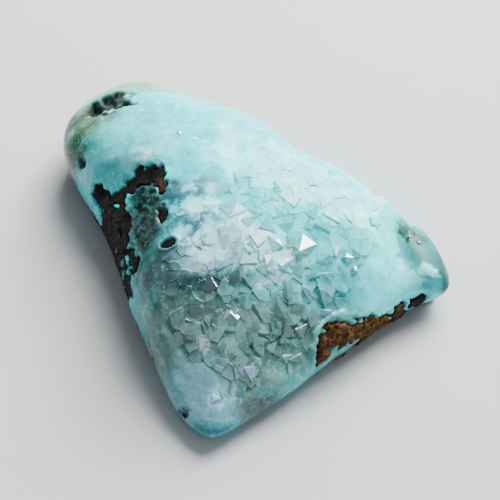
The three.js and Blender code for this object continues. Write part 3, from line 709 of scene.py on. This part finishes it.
def grow_places(field, threshold, spacing, seed, rows, cols, jitter=1):
    """Places of a jittered grid, with the ones to keep: where a field is over a threshold, off the rock.

    Returns random numbers, points on the skin, its slopes there, how deep each one sits, the share by
    which it belongs to the front, and the indices to keep.
    """
    random = number_stream(seed)
    spots = []
    for row in range(*rows):
        for col in range(*cols):
            jx, jy, *rest = [next(random) for _ in range(8)]
            cx = spacing * (col + 0.5 * (abs(row) % 2) + 0.5 * jitter * (jx - 0.5))
            spots.append((cx, spacing * 0.866 * (row + 0.6 * jitter * (jy - 0.5)), *rest))
    spots = np.array(spots)
    x, y = spots[:, 0], spots[:, 1]
    strength = field(x, y)
    points = np.stack([x, y, skin_height(x, y)], -1)
    slope_x = (skin_height(x + 0.1, y) - skin_height(x - 0.1, y)) / 0.2
    slope_y = (skin_height(x, y + 0.1) - skin_height(x, y - 0.1)) / 0.2
    sunk = 0.12 * (1 - ease((strength - threshold) / 0.35))
    keep = (strength > threshold) & (points[:, 2] > 2.4) & (rock_reach(points) < -0.6)
    slope = np.stack([slope_x, slope_y], -1)
    return spots[:, 2:], points, slope, sunk, front_share(y), np.where(keep)[0]


def grow(field, threshold, spacing, size, rise, spread, seed, rows, cols):
    """Crystals, each with one face nearly flush with the skin.

    The face leans from the skin's normal by up to the spread, in degrees at the back and at the front.
    """
    numbers, points, slope, sunk, front, keep = grow_places(field, threshold, spacing, seed, rows, cols)
    grown = []
    for i in keep:
        big, turn, lean, way, up, _ = numbers[i]
        tilt = math.tan(math.radians(spread[0] + (spread[1] - spread[0]) * front[i]) * lean)
        out = Vector((-slope[i, 0], -slope[i, 1], 1)).normalized()
        towards = Vector((math.cos(2 * math.pi * way), math.sin(2 * math.pi * way), 0))
        out = (out + tilt * towards).normalized()
        middle = Vector(points[i]) + out * (rise[0] + rise[1] * up - sunk[i])
        grown.append(facing_crystal(middle, out, 2 * math.pi * turn, spacing * (size[0] + size[1] * big)))
    return grown


def facet_mesh(name, shapes):
    """One flat-faced mesh of many closed shapes, each given as its points and faces."""
    points = np.vstack([corners for corners, _ in shapes]) * MM
    all_faces = []
    first = 0
    for corners, faces in shapes:
        all_faces += [[first + i for i in face] for face in faces]
        first += len(corners)
    mesh = bpy.data.meshes.new(name)
    mesh.from_pydata(points.tolist(), [], all_faces)
    mesh.update()
    piece = bpy.data.objects.new(name, mesh)
    bpy.context.scene.collection.objects.link(piece)
    return piece


# Crystals with a face that sends the sparkle lamp's light to the camera, as the face's middle, a half-width
# and a turn
BRIGHT = [
    (4.3, -3.9, 8.05, 1.1, 0.1), (2.2, -3.8, 8.1, 0.4, 1.4), (7.6, -4.4, 7.1, 0.4, 2.0),
    (8.1, -5.2, 6.6, 0.25, 0.9), (-3.9, -6.8, 7.4, 0.16, 0.7), (-5.7, 7.0, 9.0, 0.2, 0.5),
    (-8.4, 4.9, 8.1, 0.16, 2.0), (-7.2, -7.4, 5.6, 0.14, 2.0), (12.7, -0.5, 4.9, 0.12, 0.5),
    (13.5, -0.8, 4.5, 0.14, 1.5)]
large = grow(quartz_field, threshold=0.77, spacing=1.44, size=(0.40, 0.30), rise=(-0.02, 0.12),
             spread=(10, 20), seed=4211, rows=(-12, 9), cols=(-8, 13))
bright = []
for bx, by, bz, half, turn in BRIGHT:
    middle = Vector((bx, by, bz))
    to_camera = (camera.location / MM - middle).normalized()
    to_lamp = (SPARKLE_PLACE - middle).normalized()
    half_way = (to_camera + to_lamp).normalized()
    bright.append(facing_crystal(middle + 0.12 * half_way, half_way, turn, half))
quartz = facet_mesh("druzy_quartz", large + bright)
material, tree, shader = new_material("clear quartz")
colour = mix_colour(tree, 0.15, stone_colour(tree), (0.60, 0.95, 0.95))
tree.links.new(colour, shader.inputs["Base Color"])
shader.inputs["Transmission Weight"].default_value = 0.65
shader.inputs["IOR"].default_value = 1.544
shader.inputs["Roughness"].default_value = 0.05
quartz.data.materials.append(material)
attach(quartz, "root")
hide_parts("gem_silica")


# Milky quartz: low crystals between the clear ones, ground flush with the top into a mosaic of flat
# polygons, with a few that still stand up at the front. They are one growth with the chalcedony, so
# they take its colour.


def nearest_cell(x, y, others):
    """The polygon of the places nearer to one point than to others, cut from a square line by line.

    Each other point comes with a lead, by which the dividing line is moved towards it.
    """
    half_side = 1.2
    left, right, front, back = x - half_side, x + half_side, y - half_side, y + half_side
    cell = [(left, front), (right, front), (right, back), (left, back)]
    for ox, oy, lead in others:
        limit = (ox * ox + oy * oy - x * x - y * y + lead) / 2
        side = [(ox - x) * px + (oy - y) * py - limit for px, py in cell]
        cut = []
        for k in range(len(cell)):
            before, here = np.array(cell[k - 1]), np.array(cell[k])
            if side[k - 1] * side[k] < 0:
                cut.append(tuple(before + (here - before) * side[k - 1] / (side[k - 1] - side[k])))
            if side[k] <= 0:
                cut.append(cell[k])
        cell = cut
    return np.array(cell).reshape(-1, 2)


def mosaic(field, threshold, spacing, steps, spread, seed, rows, cols):
    """Closed flat-topped polygons, each the area nearest to its place, with a small step and tilt."""
    numbers, points, slope, sunk, front, keep = grow_places(field, threshold, spacing, seed, rows, cols, 1.9)
    plates = []
    for i in keep:
        big, _, lean, way, up, _ = numbers[i]
        apart = np.hypot(points[:, 0] - points[i, 0], points[:, 1] - points[i, 1])
        lead = 0.55 * spacing ** 2 * (big - numbers[:, 0])
        near = np.column_stack([points[:, :2], lead])[(apart > 0) & (apart < 2.8 * spacing)]
        off = 0.98 * (nearest_cell(points[i, 0], points[i, 1], near.tolist()) - points[i, :2])
        if len(off) < 3 or np.hypot(*slope[i]) > 0.8:
            continue
        tilt = math.tan(math.radians(spread[0] + (spread[1] - spread[0]) * front[i]) * lean)
        step = (steps[0] + (steps[1] - steps[0]) * front[i]) * (up - 0.5) - sunk[i]
        towards = np.array((math.cos(2 * math.pi * way), math.sin(2 * math.pi * way)))
        height = step + off @ (slope[i] + tilt * towards)
        top = points[i] + np.column_stack([off, height])
        count = len(top)
        faces = [list(range(count)), list(range(2 * count - 1, count - 1, -1))]
        faces += [[k, count + k, count + (k + 1) % count, (k + 1) % count] for k in range(count)]
        plates.append((np.vstack([top, top - (0, 0, 0.7)]), faces))
    return plates


def front_field(x, y):
    """Where small crystals still stand up: in the front part of the quartz."""
    return quartz_field(x, y) * ease((-2.0 - y) / 4)


# Pale faces at the front, as a place, a half-width and a turn
PALE = [(-3.6, -11.2, 0.62, 0.4), (-1.7, -9.5, 0.5, 0.0), (0.0, -12.9, 0.7, 1.0), (-2.6, -14.8, 0.42, 2.2),
        (-0.2, -5.6, 0.8, 2.0), (0.9, -5.0, 0.6, 0.5)]
shapes = mosaic(milky_field, threshold=0.36, spacing=0.84, steps=(0.012, 0.07), spread=(1.2, 9),
                seed=613, rows=(-23, 14), cols=(-13, 20))
shapes += grow(front_field, threshold=0.45, spacing=0.95, size=(0.46, 0.42), rise=(-0.15, 0.16),
               spread=(6, 14), seed=977, rows=(-20, 2), cols=(-9, 12))
for px, py, half, turn in PALE:
    skin_points = skin_height(np.array((px, px + 0.1, px)), np.array((py, py, py + 0.1)))
    out = Vector((skin_points[0] - skin_points[1], skin_points[0] - skin_points[2], 0.1)).normalized()
    shapes.append(facing_crystal(Vector((px, py, skin_points[0])) + 0.1 * out, out, turn, half))
milky = facet_mesh("milky_quartz", shapes)
mesh = milky.data
face_middle = np.zeros(3 * len(mesh.polygons))
mesh.polygons.foreach_get("center", face_middle)
face_tones = number_stream(31)
tones = np.array([next(face_tones) - 0.5 for _ in mesh.polygons])
tones = tones * (0.25 + 0.75 * front_share(face_middle[1::3] / MM))
mesh.attributes.new("facet_tone", "FLOAT", "FACE").data.foreach_set("value", tones.astype(np.float32))
material, tree, shader = new_material("milky quartz")
colour = stone_colour(tree)
facet_tone = add(tree, "Attribute", {"attribute_name": "facet_tone"}).outputs["Fac"]
dark_side = math_node(tree, "MAXIMUM", facet_tone, 0.0)
shaded = mix_colour(tree, 1.0, colour, (0.35, 0.45, 0.45), "MULTIPLY")
colour = tint_by(tree, dark_side, 0.7, colour, shaded)
pale_side = math_node(tree, "MAXIMUM", math_node(tree, "MULTIPLY", facet_tone, -1.0), 0.0)
colour = tint_by(tree, pale_side, 0.3, colour, (0.45, 0.88, 0.88))
tree.links.new(colour, shader.inputs["Base Color"])
shader.inputs["IOR"].default_value = 1.544
shader.inputs["Specular IOR Level"].default_value = 0.25
shader.inputs["Roughness"].default_value = 0.22
scatter(shader, 0.6, 0.8)
milky.data.materials.append(material)
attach(milky, "root")
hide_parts("gem_silica")


# A plain pale floor and soft studio light: a window behind on the right, a small lamp beside it that the
# bright crystal faces send to the camera, and two weak fills at the front.
bpy.ops.mesh.primitive_plane_add(size=2)
floor = bpy.context.object
floor.name = "floor"
material, tree, shader = new_material("floor")
shader.inputs["Base Color"].default_value = (0.55, 0.55, 0.55, 1)
shader.inputs["Roughness"].default_value = 0.9
floor.data.materials.append(material)


def lamp(name, place, size, power, tint=(1, 1, 1)):
    """A square soft lamp that faces the stone. Place and size are in millimetres."""
    data = bpy.data.lights.new(name, "AREA")
    data.size = size * MM
    data.energy = power
    data.color = tint
    lamp_object = bpy.data.objects.new(name, data)
    lamp_object.location = Vector(place) * MM
    lamp_object.rotation_mode = "QUATERNION"
    lamp_object.rotation_quaternion = lamp_object.location.to_track_quat("Z", "Y")
    bpy.context.scene.collection.objects.link(lamp_object)


lamp("window", (110, 200, 190), 230, 4.1)
lamp("sparkle", SPARKLE_PLACE, 45, 0.4)
lamp("left fill", (-220, -120, 200), 200, 0.09, (0.9, 0.96, 1.0))
lamp("right fill", (200, -150, 180), 200, 0.15, (0.9, 0.96, 1.0))
world = bpy.data.worlds.new("studio")
world.use_nodes = True
tree = world.node_tree
direction = add(tree, "TexCoord").outputs["Generated"]
sky_middle = (0.35, 0.50, 0.79)
above = add(tree, "VectorMath", {"operation": "DOT_PRODUCT"}, _0=direction, _1=sky_middle).outputs["Value"]
background = tree.nodes["Background"]
background.inputs[0].default_value = (0.80, 0.90, 1.0, 1)
brightness = add(tree, "MapRange", _0=above, _1=-0.2, _2=1.0, _3=0.06, _4=0.50).outputs[0]
tree.links.new(brightness, background.inputs[1])
bpy.context.scene.world = world
